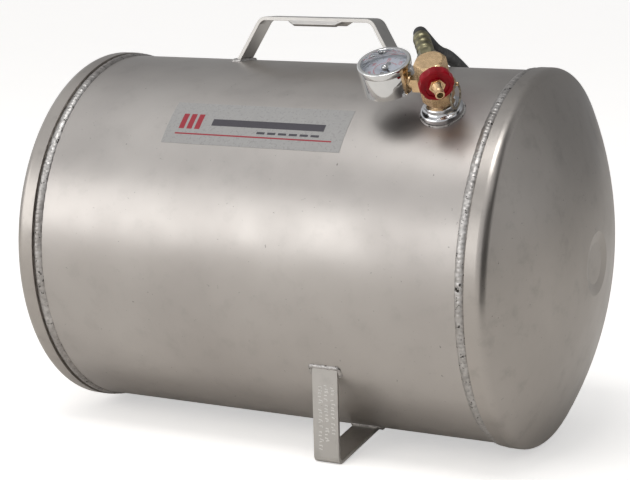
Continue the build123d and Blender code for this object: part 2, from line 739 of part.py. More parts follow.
def make_hose_fitting(fitting_frame):
    bore = 1.8
    fitting = tube(THREAD_R - FIT, bore, 4.2, FACE) + tube(BARB_R, bore, FERRULE_START - 1.5, BARB_END)
    fitting += hexagon(FITTING_FLATS, FACE, FERRULE_START - 1.5) - tube(bore, 0, FACE, FERRULE_START - 1.5)
    write("hose_fitting", fitting_frame * fitting)
    write("hose_ferrule", fitting_frame * ribbed_ferrule(FERRULE_START, FERRULE_END))


def make_hose():
    """The hose on its fitting, from the barb over the tank to the coil, and the coil itself."""
    fitting_frame = PORT_FRAME * side(HOSE_SIDE, HIGH_PORT)
    make_hose_fitting(fitting_frame)
    start = [tuple((fitting_frame * Pos(0, 0, reach)).position) for reach in (BARB_END, HOSE_FIRST_BEND)]
    route = start + HOSE_ROUTE
    radii = corner_radii(route)
    path = FilletPolyline(*route, radius=radii)
    run = sweep(Plane(origin=path @ 0, z_dir=path % 0) * Circle(HOSE_R), path=path)
    coil_length = COIL_TURNS * 2 * math.pi * COIL_R
    print("hose starts at", [[round(value, 2) for value in point] for point in start])
    print("hose radii", [round(radius, 1) for radius in radii])
    print("hose run", round(path.length, 1), "volume", round(run.volume, 1))
    print("section times length", round(math.pi * HOSE_R**2 * path.length, 1))
    print("whole hose", round(path.length + coil_length + TAIL_END + BARB_END - HOSE_START, 1))
    sleeve = tube(HOSE_R, 0, HOSE_START, BARB_END + 1) - tube(BARB_R + FIT, 0, HOSE_START, BARB_END)
    sleeve = fitting_frame * sleeve
    write("hose", sleeve + (run - coil_keep_out()))
    coil = tube(COIL_R + HOSE_R, COIL_R - HOSE_R, 0, 2 * HOSE_R * COIL_LAYERS)
    write("hose_coil", Pos(COIL_X, COIL_Y, 0) * coil)


def make_tyre_chuck():
    """The hose's far end: a short tail off the coil, its ferrule, and an open push-on tyre chuck."""
    end = Pos(COIL_X, COIL_Y + COIL_R, CHUCK_Z) * Rot(0, 90, 0)
    tail = end * (tube(HOSE_R, 0, 0, TAIL_END - 0.5) - tube(BARB_R + FIT, 0, TAIL_FERRULE + 2, TAIL_END))
    write("hose_tail", tail - coil_keep_out())
    write("tail_ferrule", end * ribbed_ferrule(TAIL_FERRULE, TAIL_END - 1))
    hex_end = TAIL_END + 8.0
    mouth = hex_end + 18.0
    chuck = tube(BARB_R, 0, TAIL_FERRULE + 2, TAIL_END) + hexagon(CHUCK_FLATS, TAIL_END, hex_end)
    head = spin(
        [
            (0, hex_end),
            (CHUCK_R - 2, hex_end),
            (CHUCK_R, hex_end + 3),
            (CHUCK_R, mouth - 4),
            (CHUCK_R - 1.5, mouth),
            (0, mouth),
        ]
    )
    chuck += head
    chuck -= tube(CHUCK_BORE_R, 0, mouth - CHUCK_DEPTH, mouth)
    chuck -= tube(CHUCK_BORE_R + 1.2, 0, mouth - CHUCK_DEPTH - 2.6, mouth - CHUCK_DEPTH)
    chuck -= tube(1.5, 0, TAIL_FERRULE + 2, mouth)
    write("chuck_body", end * chuck)
    seal_floor = mouth - CHUCK_DEPTH - 2.6
    write("chuck_seal", end * tube(CHUCK_BORE_R + 1.15, 2.4, seal_floor + 0.05, seal_floor + 2.55))
    pin = tube(1.0, 0, seal_floor - 3.0, seal_floor + 2.4)
    pin += tube(1.5, 0.9, seal_floor - 3.0, seal_floor - 1.5)
    write("chuck_pin", end * pin)


def main():
    os.makedirs("parts", exist_ok=True)
    write("shell", make_shell())
    make_heads()
    make_girth_welds()
    write("long_seam_weld", make_long_seam())
    write("label", make_label())
    handle = make_handle()
    write("handle", handle)
    write("handle_welds", make_handle_welds(handle))
    make_feet()
    write("port_boss", make_boss())
    write("boss_weld", make_boss_weld())
    write("manifold_body", on_tank(make_manifold_body()))
    make_valve()
    make_relief_valve()
    make_gauge()
    make_hose()
    make_tyre_chuck()
    for name, count, volume in written:
        print(f"{name:18} {count:2} solids {volume:12.1f} mm3")


main()
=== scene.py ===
import json
import math

import bmesh
import bpy
from mathutils import Matrix, Vector, noise as smooth_noise


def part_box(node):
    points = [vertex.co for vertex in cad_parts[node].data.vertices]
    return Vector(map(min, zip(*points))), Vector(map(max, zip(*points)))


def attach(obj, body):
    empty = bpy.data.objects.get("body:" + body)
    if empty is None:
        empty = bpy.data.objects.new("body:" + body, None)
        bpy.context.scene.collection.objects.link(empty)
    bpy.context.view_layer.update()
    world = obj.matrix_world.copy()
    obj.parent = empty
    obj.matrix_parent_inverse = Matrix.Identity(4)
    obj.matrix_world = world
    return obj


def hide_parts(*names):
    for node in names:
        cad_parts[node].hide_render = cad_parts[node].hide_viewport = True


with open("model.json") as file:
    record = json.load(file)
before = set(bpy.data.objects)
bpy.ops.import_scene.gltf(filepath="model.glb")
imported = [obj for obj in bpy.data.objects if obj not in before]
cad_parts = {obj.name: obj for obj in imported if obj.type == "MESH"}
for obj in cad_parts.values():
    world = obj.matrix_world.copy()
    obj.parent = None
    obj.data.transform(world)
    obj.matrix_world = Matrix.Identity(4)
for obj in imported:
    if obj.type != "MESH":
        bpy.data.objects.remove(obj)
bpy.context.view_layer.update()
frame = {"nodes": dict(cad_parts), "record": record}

# Portable air receiver tank, in metres. +Z is up, X runs along the tank, and its manifold faces -Y.

NODES = frame["nodes"]
JOINTS = {joint["name"]: joint for joint in frame["record"]["behaviour"]["joints"]}

# Tank
SHELL_LOW, SHELL_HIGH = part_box("shell")
AXIS_Z = (SHELL_LOW[2] + SHELL_HIGH[2]) / 2
SHELL_R = (SHELL_HIGH[2] - SHELL_LOW[2]) / 2
SEAM_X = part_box("right_head")[0][0]
BEAD_W = SEAM_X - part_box("girth_weld_right")[0][0]

# Manifold: the centre of its upper ports, the valve's and the hose's ports, and its foot on the shell
HIGH_PORT = Vector(JOINTS["knob_turn"]["pos_m"])
VALVE_OUT = Vector(JOINTS["knob_turn"]["axis"])
HOSE_OUT = -VALVE_OUT
ACROSS = (Vector((0.5, 0, 0)) - VALVE_OUT).normalized()
OUT = Vector((1, 0, 0)).cross(ACROSS)
PORT = HIGH_PORT - OUT * 0.042

# Gauge: the way it faces, and its origin
FACING = -Vector(JOINTS["needle_turn"]["axis"])
GAUGE = Vector(JOINTS["needle_turn"]["pos_m"]) - FACING * 0.036

# Gauge, as heights along its axis and radii from it
CASE_BACK = 0.0224
DIAL_TOP = 0.0382
SCALE_R = 0.0172
ZERO_ANGLE = -45
FULL_TURN = 270
SCALE_STEPS = 15

# Valve stem, as distances along its axis from the manifold's axis
SEAT_START = 0.0155
SEAT_END = 0.0246
STEM_TIP = 0.0355
THREAD_PITCH = 0.0008

# Welds, and half the length of a foot's slanted contact with the shell
STRIP_SLANT = 0.0032
RIPPLE = 0.0034
SMALL_RIPPLE = 0.0028

# Label film's outer face, above the shell
LABEL_TOP = 0.00015

# Hose
HOSE_D = 0.011
HOSE_EXIT = 0.0415
COIL_CENTRE = Vector((-0.025, 0.222))
COIL_R = 0.0605
COIL_POINTS = 16
COIL_TURNS = 1.5
TAIL = 0.0605


# Frames and meshes


def frame_at(origin, out, along=None):
    """A matrix whose +Z is out. Its +X is along, or any direction across out."""
    z = Vector(out).normalized()
    x = Vector(along) if along else z.orthogonal()
    x = (x - z * x.dot(z)).normalized()
    turn = Matrix((x, z.cross(x), z)).transposed().to_4x4()
    return Matrix.Translation(origin) @ turn


def finish_piece(piece, body, material, replaced=(), sharp=35):
    """Shades a piece, gives it its material, hides the CAD nodes it stands for, and ties it to its body."""
    piece.data.materials.append(material)
    for face in piece.data.polygons:
        face.use_smooth = True
    piece.data.set_sharp_from_angle(angle=math.radians(sharp))
    if replaced:
        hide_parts(*replaced)
    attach(piece, body)


def mesh_piece(name, *shapes):
    """One mesh object from shapes, each a list of vertices and a list of faces."""
    verts, faces = [], []
    for shape_verts, shape_faces in shapes:
        first = len(verts)
        verts += [tuple(vert) for vert in shape_verts]
        faces += [tuple(first + index for index in face) for face in shape_faces]
    mesh = bpy.data.meshes.new(name)
    mesh.from_pydata(verts, [], faces)
    build = bmesh.new()
    build.from_mesh(mesh)
    bmesh.ops.remove_doubles(build, verts=build.verts, dist=1e-7)
    bmesh.ops.recalc_face_normals(build, faces=build.faces)
    build.to_mesh(mesh)
    build.free()
    piece = bpy.data.objects.new(name, mesh)
    bpy.context.scene.collection.objects.link(piece)
    return piece


def ring_faces(rings, sides, closed):
    """Quads between rings of sides vertices, joined end to end if closed and capped if not."""
    faces = []
    for ring in range(rings if closed else rings - 1):
        low, high = ring * sides, (ring + 1) % rings * sides
        for side in range(sides):
            after = (side + 1) % sides
            faces.append((low + side, low + after, high + after, high + side))
    if not closed:
        faces.append(tuple(range(sides)))
        faces.append(tuple((rings - 1) * sides + side for side in range(sides)))
    return faces


def arc_points(centre, radius, start, end, steps):
    """Points on an arc in an outline's (radius, height) plane, angles in degrees from +radius."""
    points = []
    for step in range(steps + 1):
        angle = math.radians(start + (end - start) * step / steps)
        points.append((centre[0] + radius * math.cos(angle), centre[1] + radius * math.sin(angle)))
    return points


def lathe(place, outline, turns=96, ripple=None):
    """Turns a closed outline of (radius, height) points about place's +Z.

    ripple(angle, height), where given, moves a point's radius.
    """
    verts = []
    for turn in range(turns):
        angle = 2 * math.pi * turn / turns
        for radius, height in outline:
            r = radius + (ripple(angle, height) if ripple else 0.0)
            verts.append(place @ Vector((r * math.cos(angle), r * math.sin(angle), height)))
    return verts, ring_faces(turns, len(outline), True)


def swept(path, ups, section, sides, closed):
    """Sweeps section(index, angle) -> (sideways, lift) along path, with ups as each point's up."""
    verts = []
    count = len(path)
    for index, place in enumerate(path):
        before = path[index - 1] if closed or index else place
        after = path[(index + 1) % count] if closed or index < count - 1 else place
        sideways = (after - before).normalized().cross(ups[index])
        for side in range(sides):
            across, lift = section(index, 2 * math.pi * side / sides)
            verts.append(place + sideways * across + ups[index] * lift)
    return verts, ring_faces(count, sides, closed)


def slab(place, corners, low, high):
    """A thin flat plate in place's XY plane, between two heights."""
    verts = [place @ Vector((*corner, height)) for height in (low, high) for corner in corners]
    return verts, ring_faces(2, len(corners), False)


def bar(place, start, end, width, low, high):
    """A slab from start to end, both in place's XY plane."""
    start, end = Vector(start), Vector(end)
    run = (end - start).normalized() * width / 2
    edge = Vector((-run.y, run.x))
    return slab(place, [start - edge, end - edge, end + edge, start + edge], low, high)


def on_shell(x, angle, rise=0.0):
    """A point on the shell and its outward direction. The angle leans forward from the top."""
    outward = Vector((0, -math.sin(angle), math.cos(angle)))
    return Vector((x, 0, AXIS_Z)) + outward * (SHELL_R + rise), outward


def shell_patch(x_range, angle_range, rise, thickness, steps=8):
    """A thin film wrapped on the shell."""
    verts = []
    for step in range(steps + 1):
        angle = angle_range[0] + (angle_range[1] - angle_range[0]) * step / steps
        for x, height in (
            (x_range[0], rise),
            (x_range[1], rise),
            (x_range[1], rise + thickness),
            (x_range[0], rise + thickness),
        ):
            verts.append(on_shell(x, angle, height)[0])
    return verts, ring_faces(steps + 1, 4, False)


def bevelled(node, width, material):
    """Rounds the edges of a CAD node with modifiers and gives it its material."""
    piece = NODES[node]
    merge = piece.modifiers.new("merge", "WELD")
    merge.merge_threshold = 1e-5
    bevel = piece.modifiers.new("edges", "BEVEL")
    bevel.width = width
    bevel.segments = 2
    bevel.limit_method = "ANGLE"
    bevel.angle_limit = math.radians(32)
    bevel.harden_normals = False
    paint(node, material)


def paint(node, material):
    piece = NODES[node]
    piece.data.materials.clear()
    piece.data.materials.append(material)


# Materials


def new_material(name, color, metallic, roughness, **sockets):
    material = bpy.data.materials.new(name)
    material.use_nodes = True
    shader = material.node_tree.nodes["Principled BSDF"]
    shader.inputs["Base Color"].default_value = (*color, 1)
    shader.inputs["Metallic"].default_value = metallic
    shader.inputs["Roughness"].default_value = roughness
    for socket, value in sockets.items():
        shader.inputs[socket.replace("_", " ")].default_value = value
    return material, material.node_tree, shader


def object_points(tree, scale=(1, 1, 1)):
    """Object coordinates, stretched, as a texture's vector."""
    where = tree.nodes.new("ShaderNodeTexCoord")
    stretch = tree.nodes.new("ShaderNodeMapping")
    stretch.inputs["Scale"].default_value = scale
    tree.links.new(where.outputs["Object"], stretch.inputs["Vector"])
    return stretch.outputs["Vector"]


def noise(tree, scale, detail=4, stretch=(1, 1, 1), roughness=0.55):
    texture = tree.nodes.new("ShaderNodeTexNoise")
    texture.inputs["Scale"].default_value = scale
    texture.inputs["Detail"].default_value = detail
    texture.inputs["Roughness"].default_value = roughness
    tree.links.new(object_points(tree, stretch), texture.inputs["Vector"])
    return texture.outputs["Fac"]


def ramp(tree, source, low, high, low_value, high_value):
    """Maps source from low..high to two grey values or two colours."""
    node = tree.nodes.new("ShaderNodeValToRGB")
    node.color_ramp.elements[0].position = low
    node.color_ramp.elements[1].position = high
    for element, value in zip(node.color_ramp.elements, (low_value, high_value)):
        element.color = (*value, 1) if isinstance(value, tuple) else (value, value, value, 1)
    tree.links.new(source, node.inputs["Fac"])
    return node.outputs["Color"]


def multiply(tree, first, second):
    mix = tree.nodes.new("ShaderNodeMix")
    mix.data_type = "RGBA"
    mix.blend_type = "MULTIPLY"
    mix.inputs[0].default_value = 1.0
    tree.links.new(first, mix.inputs[6])
    tree.links.new(second, mix.inputs[7])
    return mix.outputs[2]


def bump(tree, under, source, strength, distance):
    """A bump over another bump's normal, or over the bare surface."""
    node = tree.nodes.new("ShaderNodeBump")
    node.inputs["Strength"].default_value = strength
    node.inputs["Distance"].default_value = distance
    tree.links.new(source, node.inputs["Height"])
    if under:
        tree.links.new(under, node.inputs["Normal"])
    return node.outputs["Normal"]


def near(tree, place, inner, outer, close_value):
    """A grey that goes from close_value beside place to 1 away from it."""
    where = tree.nodes.new("ShaderNodeTexCoord")
    distance = tree.nodes.new("ShaderNodeVectorMath")
    distance.operation = "DISTANCE"
    distance.inputs[1].default_value = place
    tree.links.new(where.outputs["Object"], distance.inputs[0])
    return ramp(tree, distance.outputs["Value"], inner, outer, close_value, (1.0, 1.0, 1.0))


def mill_aluminium(name, light, dark, rough, stain=0.93, waves=0.0):
    """Satin sheet with cloudy smudges, small stains, a fine rolled grain and slight waviness."""
    material, tree, shader = new_material(name, light, 0.94, 0.4)
    clouds = ramp(tree, noise(tree, 7, 6), 0.35, 0.68, dark, light)
    stains = ramp(tree, noise(tree, 55, 3, (1, 1, 1), 0.7), 0.30, 0.46, stain, 1.0)
    specks = ramp(tree, noise(tree, 260, 2, (1, 1, 1), 0.8), 0.24, 0.29, 0.55, 1.0)
    heat = near(tree, PORT, 0.016, 0.045, (0.72, 0.67, 0.68))
    color = multiply(tree, multiply(tree, clouds, stains), multiply(tree, specks, heat))
    tree.links.new(color, shader.inputs["Base Color"])
    tree.links.new(ramp(tree, noise(tree, 24, 5), 0.3, 0.7, rough[0], rough[1]), shader.inputs["Roughness"])
    grain = bump(tree, None, noise(tree, 900, 2, (1, 0.3, 1)), 0.05, 0.0002)
    swell = bump(tree, grain, noise(tree, 16, 2), waves, 0.004)
    tree.links.new(swell, shader.inputs["Normal"])
    return material


def weld_metal(name):
    """As-welded aluminium, bright with grey oxide and a few dark nicks."""
    material, tree, shader = new_material(name, (0.66, 0.66, 0.65), 0.95, 0.36)
    oxide = ramp(tree, noise(tree, 320, 4), 0.30, 0.60, (0.36, 0.345, 0.33), (0.56, 0.54, 0.52))
    nicks = ramp(tree, noise(tree, 190, 3, (1, 1, 1), 0.85), 0.36, 0.40, (0.07, 0.065, 0.06), (1.0, 1.0, 1.0))
    soot = ramp(tree, noise(tree, 14, 3), 0.36, 0.56, (0.70, 0.68, 0.67), (1.0, 1.0, 1.0))
    color = multiply(tree, multiply(tree, oxide, nicks), soot)
    tree.links.new(color, shader.inputs["Base Color"])
    tree.links.new(ramp(tree, noise(tree, 300, 3), 0.3, 0.7, 0.34, 0.52), shader.inputs["Roughness"])
    tree.links.new(bump(tree, None, noise(tree, 900, 3), 0.25, 0.0003), shader.inputs["Normal"])
    return material


def turned_metal(name, color, rough=0.24, grime=0.75, tarnish_scale=130):
    """Turned or plated metal with faint tool marks and slight tarnish."""
    material, tree, shader = new_material(name, color, 1.0, rough)
    dull = tuple(c * grime for c in color)
    tarnish = ramp(tree, noise(tree, tarnish_scale, 5), 0.30, 0.60, dull, color)
    tree.links.new(tarnish, shader.inputs["Base Color"])
    wear = ramp(tree, noise(tree, 260, 3), 0.3, 0.7, rough * 0.75, rough * 1.35)
    tree.links.new(wear, shader.inputs["Roughness"])
    tree.links.new(bump(tree, None, noise(tree, 1500, 2), 0.06, 0.0001), shader.inputs["Normal"])
    return material


def glossy_paint(name, color, dark):
    """Moulded plastic with a soft gloss and slight unevenness."""
    material, tree, shader = new_material(name, color, 0.0, 0.35, Specular_IOR_Level=0.22)
    tree.links.new(ramp(tree, noise(tree, 160, 4), 0.3, 0.7, dark, color), shader.inputs["Base Color"])
    tree.links.new(ramp(tree, noise(tree, 300, 3), 0.3, 0.7, 0.26, 0.42), shader.inputs["Roughness"])
    tree.links.new(bump(tree, None, noise(tree, 380, 2), 0.10, 0.0003), shader.inputs["Normal"])
    return material


def matt_rubber(name, color=(0.016, 0.016, 0.017)):
    """Black rubber with a dusty bloom and a fine cloth-cured texture."""
    material, tree, shader = new_material(name, color, 0.0, 0.55)
    dust = tuple(c * 2.0 for c in color)
    tree.links.new(ramp(tree, noise(tree, 90, 5), 0.42, 0.78, color, dust), shader.inputs["Base Color"])
    tree.links.new(ramp(tree, noise(tree, 220, 3), 0.3, 0.7, 0.48, 0.70), shader.inputs["Roughness"])
    tree.links.new(bump(tree, None, noise(tree, 1400, 3), 0.35, 0.0003), shader.inputs["Normal"])
    return material


def clear_glass(name):
    """Clear lens with the faintest haze."""
    material, tree, shader = new_material(
        name, (1, 1, 1), 0.0, 0.02, Transmission_Weight=1.0, IOR=1.2
    )
    tree.links.new(ramp(tree, noise(tree, 200, 3), 0.4, 0.9, 0.0, 0.05), shader.inputs["Roughness"])
    return material


def printed(name, color, rough=0.45):
    """Ink or enamel with a slightly uneven coat."""
    material, tree, shader = new_material(name, color, 0.0, rough)
    faded = tuple(c * 0.93 for c in color)
    tree.links.new(ramp(tree, noise(tree, 240, 4), 0.3, 0.65, faded, color), shader.inputs["Base Color"])
    wear = ramp(tree, noise(tree, 500, 2), 0.3, 0.7, rough * 0.8, rough * 1.2)
    tree.links.new(wear, shader.inputs["Roughness"])
    return material


MILL = mill_aluminium(
    "mill_aluminium", (0.52, 0.49, 0.46), (0.44, 0.41, 0.385), (0.33, 0.42), 0.95, 0.05
)
HEAD_METAL = mill_aluminium(
    "head_aluminium", (0.49, 0.455, 0.42), (0.40, 0.37, 0.34), (0.28, 0.38), 0.9, 0.08
)
STRIP_METAL = mill_aluminium(
    "strip_aluminium", (0.58, 0.56, 0.535), (0.47, 0.455, 0.43), (0.30, 0.42), 0.9, 0.02
)
WELD = weld_metal("weld_aluminium")
TURNED = turned_metal("turned_aluminium", (0.64, 0.64, 0.65), 0.17, 0.8)
BRASS = turned_metal("brass", (0.84, 0.59, 0.34), 0.26, 0.82)
# Painted shade: brass darkened nearly to black for the fill valve's core and pin, seen down the hollow stem.
BORE_SHADE_BRASS = turned_metal("shaded_brass", (0.10, 0.07, 0.03), 0.4, 0.6)
CHROME = turned_metal("chrome", (0.80, 0.80, 0.79), 0.06, 0.95)
NICKEL = turned_metal("nickel", (0.47, 0.42, 0.33), 0.18, 0.6)
STEEL = turned_metal("bright_steel", (0.62, 0.62, 0.62), 0.22, 0.8)
ZINC = turned_metal("yellow_zinc", (0.31, 0.285, 0.175), 0.34, 0.4, 210)
RED = glossy_paint("red_knob", (0.31, 0.0005, 0.009), (0.20, 0.0005, 0.005))
RUBBER = matt_rubber("hose_rubber")
SEAL = matt_rubber("seal_rubber", (0.03, 0.03, 0.03))
GLASS = clear_glass("gauge_glass")
# A white dial whose bluish tint is a painted reflection of the lens.
DIAL = printed("dial_white", (0.54, 0.57, 0.64))
DIAL_RED = printed("dial_red", (0.55, 0.05, 0.06))
DIAL_BLACK = printed("dial_black", (0.05, 0.05, 0.06))
LABEL = printed("label_film", (0.33, 0.322, 0.312), 0.30)
LABEL_RED = printed("label_red", (0.30, 0.012, 0.025))
LABEL_DARK = printed("label_dark", (0.045, 0.04, 0.05))
# Painted shade: near-black for the gauge's back, darkening the shade under the gauge and its dark image in
# the shell.
UNDERSIDE_SHADE_BLACK = printed("gauge_underside_painted_shade", (0.03, 0.03, 0.03), 0.5)
PUNCH = turned_metal("punch_marks", (0.80, 0.79, 0.77), 0.32, 0.8)


# Camera, floor and lights


def make_camera():
    """Looks at the middle of the tank from the front right, a little above it."""
    camera = bpy.data.objects.new("camera", bpy.data.cameras.new("camera"))
    camera.location = (0.6552, -1.3450, AXIS_Z + 0.2411)
    camera.rotation_euler = (math.radians(80.843), math.radians(-0.4), math.radians(26.24))
    camera.data.sensor_width = 36
    camera.data.lens = 100.73
    camera.data.clip_start = 0.05
    camera.data.clip_end = 50
    bpy.context.scene.collection.objects.link(camera)
    bpy.context.scene.camera = camera


def make_floor():
    """A broad pale sheet, back-lit like a light table so that it stays plain and bright."""
    side = 60
    corners = [(-side, -side, 0), (side, -side, 0), (side, side, 0), (-side, side, 0)]
    floor = mesh_piece("floor", (corners, [(0, 1, 2, 3)]))
    material, tree, shader = new_material("floor_paper", (0.93, 0.93, 0.93), 0.0, 0.9)
    paper = ramp(tree, noise(tree, 3, 2), 0.3, 0.7, (0.87, 0.84, 0.80), (0.89, 0.86, 0.82))
    tree.links.new(paper, shader.inputs["Base Color"])
    rays = tree.nodes.new("ShaderNodeLightPath")
    glow = tree.nodes.new("ShaderNodeMath")
    glow.operation = "MULTIPLY"
    glow.inputs[1].default_value = 0.5
    tree.links.new(rays.outputs["Is Camera Ray"], glow.inputs[0])
    tree.links.new(glow.outputs[0], shader.inputs["Emission Strength"])
    shader.inputs["Emission Color"].default_value = (1, 1, 1, 1)
    floor.data.materials.append(material)
    floor.location.z = -0.0002


def make_flag():
    """A black card beside the right head, seen only as the dark line that it reflects in the head's bend."""
    start = Vector((0.40, -0.53, 0))
    end = Vector((0.90, -0.16, 0))
    height = Vector((0, 0, 0.52))
    flag = mesh_piece("flag", ([start, end, end + height, start + height], [(0, 1, 2, 3)]))
    material, tree, shader = new_material("flag_felt", (0.02, 0.02, 0.022), 0.0, 0.9)
    tree.links.new(ramp(tree, noise(tree, 40, 3), 0.3, 0.7, 0.015, 0.03), shader.inputs["Base Color"])
    flag.data.materials.append(material)
    flag.visible_camera = False
    flag.visible_diffuse = False
    flag.visible_shadow = False


def area_light(name, place, target, size, energy):
    light = bpy.data.lights.new(name, "AREA")
    light.shape = "RECTANGLE"
    light.size, light.size_y = size
    light.energy = energy
    lamp = bpy.data.objects.new(name, light)
    lamp.location = place
    lamp.rotation_euler = (Vector(target) - Vector(place)).to_track_quat("-Z", "Y").to_euler()
    bpy.context.scene.collection.objects.link(lamp)


def toward(tree, direction, edge, core):
    """0 away from a direction and 1 close to it, edge and core being cosines."""
    where = tree.nodes.new("ShaderNodeTexCoord")
    dot = tree.nodes.new("ShaderNodeVectorMath")
    dot.operation = "DOT_PRODUCT"
    dot.inputs[1].default_value = Vector(direction).normalized()
    tree.links.new(where.outputs["Generated"], dot.inputs[0])
    spread = tree.nodes.new("ShaderNodeMapRange")
    spread.interpolation_type = "SMOOTHSTEP"
    spread.inputs["From Min"].default_value = edge
    spread.inputs["From Max"].default_value = core
    tree.links.new(dot.outputs["Value"], spread.inputs["Value"])
    return spread.outputs["Result"]


def upright_stripe(tree, direction, core, edge):
    """1 on an upright stripe of the surroundings, around a level direction, and 0 away from it."""
    where = tree.nodes.new("ShaderNodeTexCoord")
    aside = tree.nodes.new("ShaderNodeVectorMath")
    aside.operation = "DOT_PRODUCT"
    aside.inputs[1].default_value = Vector((-direction[1], direction[0], 0)).normalized()
    tree.links.new(where.outputs["Generated"], aside.inputs[0])
    offset = tree.nodes.new("ShaderNodeMath")
    offset.operation = "ABSOLUTE"
    tree.links.new(aside.outputs["Value"], offset.inputs[0])
    spread = tree.nodes.new("ShaderNodeMapRange")
    spread.interpolation_type = "SMOOTHSTEP"
    spread.inputs["From Min"].default_value = edge
    spread.inputs["From Max"].default_value = core
    tree.links.new(offset.outputs[0], spread.inputs["Value"])
    gate = tree.nodes.new("ShaderNodeMath")
    gate.operation = "MULTIPLY"
    tree.links.new(spread.outputs["Result"], gate.inputs[0])
    tree.links.new(toward(tree, direction, 0.20, 0.45), gate.inputs[1])
    return gate.outputs[0]


def make_world():
    """A bright studio whose walls are darker to the right and behind, with a plain white backdrop."""
    world = bpy.data.worlds.new("studio")
    world.use_nodes = True
    tree = world.node_tree
    walls = tree.nodes["Background"]
    right = ramp(tree, upright_stripe(tree, (0.99, -0.12, 0.0), 0.10, 0.28), 0.0, 1.0, 1.0, 0.02)
    rear = ramp(tree, toward(tree, (0.15, 0.85, 0.50), 0.35, 0.94), 0.0, 1.0, 1.0, 0.34)
    tint = tree.nodes.new("ShaderNodeRGB")
    tint.outputs[0].default_value = (0.97, 0.98, 1.0, 1)
    color = multiply(tree, multiply(tree, right, rear), tint.outputs[0])
    tree.links.new(color, walls.inputs["Color"])
    walls.inputs["Strength"].default_value = 0.74
    backdrop = tree.nodes.new("ShaderNodeBackground")
    backdrop.inputs["Color"].default_value = (1, 1, 1, 1)
    backdrop.inputs["Strength"].default_value = 0.96
    rays = tree.nodes.new("ShaderNodeLightPath")
    mix = tree.nodes.new("ShaderNodeMixShader")
    tree.links.new(rays.outputs["Is Camera Ray"], mix.inputs[0])
    tree.links.new(walls.outputs["Background"], mix.inputs[1])
    tree.links.new(backdrop.outputs["Background"], mix.inputs[2])
    tree.links.new(mix.outputs["Shader"], tree.nodes["World Output"].inputs["Surface"])
    bpy.context.scene.world = world
    bpy.context.scene.view_settings.view_transform = "Standard"


def make_lights():
    middle = (0, 0, AXIS_Z)
    area_light("key", (-1.7, -2.1, 0.85), middle, (2.6, 1.3), 18)
    area_light("front", (0.0, -1.3, 3.2), middle, (1.5, 1.0), 30)


# Hose


def hose_route():
    """The route's points from the fitting, over the tank and down behind it, then the coil and its tail."""
    points = [
        HIGH_PORT + HOSE_OUT * HOSE_EXIT,
        HIGH_PORT + HOSE_OUT * 0.051,
        Vector((0.1165, -0.0600, 0.3372)),
        Vector((0.1125, -0.0200, 0.3220)),
        Vector((0.0960, 0.0480, 0.3160)),
        Vector((0.0900, 0.1250, 0.2880)),
        Vector((0.0830, 0.1720, 0.2335)),
        Vector((0.0780, 0.1900, 0.1680)),
        Vector((0.0740, 0.1940, 0.1040)),
        Vector((0.0640, 0.1880, 0.0560)),
        Vector((0.0400, 0.1730, 0.0270)),
        Vector((0.0080, 0.1630, 0.0175)),
    ]
    steps = int(COIL_POINTS * COIL_TURNS)
    reach = COIL_R / math.cos(math.pi / COIL_POINTS)
    for step in range(1, steps + 1):
        turn = step / COIL_POINTS
        angle = -math.pi / 2 - 2 * math.pi * turn
        drop = min(max((turn - 0.5) * 2, 0.0), 1.0)
        height = HOSE_D * (1.5 - drop)
        spot = COIL_CENTRE + reach * Vector((math.cos(angle), math.sin(angle)))
        points.append(Vector((spot.x, spot.y, height)))
    points.append(Vector((COIL_CENTRE.x + 0.018, COIL_CENTRE.y + COIL_R, 0.0062)))
    points.append(Vector((COIL_CENTRE.x + 0.040, COIL_CENTRE.y + COIL_R, 0.0079)))
    points.append(Vector((COIL_CENTRE.x + TAIL, COIL_CENTRE.y + COIL_R, 0.0080)))
    return points


def make_hose():
    points = hose_route()
    curve = bpy.data.curves.new("hose_line", "CURVE")
    curve.dimensions = "3D"
    curve.bevel_depth = HOSE_D / 2
    curve.bevel_resolution = 10
    curve.resolution_u = 10
    curve.use_fill_caps = True
    spline = curve.splines.new("NURBS")
    spline.points.add(len(points) - 1)
    for point, place in zip(spline.points, points):
        point.co = (*place, 1)
    spline.order_u = 3
    spline.use_endpoint_u = True
    hose = bpy.data.objects.new("hose_line", curve)
    bpy.context.scene.collection.objects.link(hose)
    curve.materials.append(RUBBER)
    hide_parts("hose", "hose_coil", "hose_tail")
    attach(hose, "tank")


# Welds


def weld_section(count, ripples, half_width, height):
    """A low crown with curved ripples across it and slightly uneven edges."""

    def section(index, angle):
        phase = index / count * ripples - 0.55 * math.cos(angle)
        crest = abs(math.cos(math.pi * phase)) ** 0.6
        lump = smooth_noise.noise(Vector((index * 0.11, half_width * 900, math.cos(angle))))
        size = 0.90 + 0.16 * crest + 0.16 * lump
        lift = math.cos(angle) ** 2 if math.cos(angle) > 0 else 0.4 * math.cos(angle)
        return math.sin(angle) * half_width * (0.96 + 0.10 * lump), lift * height * size

    return section


def weld_bead(path, ups, length, pitch, half_width, height, closed):
    ripples = round(length / pitch)
    return swept(path, ups, weld_section(len(path), ripples, half_width, height), 14, closed)


def girth_bead(x):
    length = 2 * math.pi * SHELL_R
    count = round(length / RIPPLE) * 7
    spots = [on_shell(x, 2 * math.pi * index / count) for index in range(count)]
    path, ups = [spot for spot, _ in spots], [up for _, up in spots]
    return weld_bead(path, ups, length, RIPPLE, BEAD_W / 2, 0.0020, True)


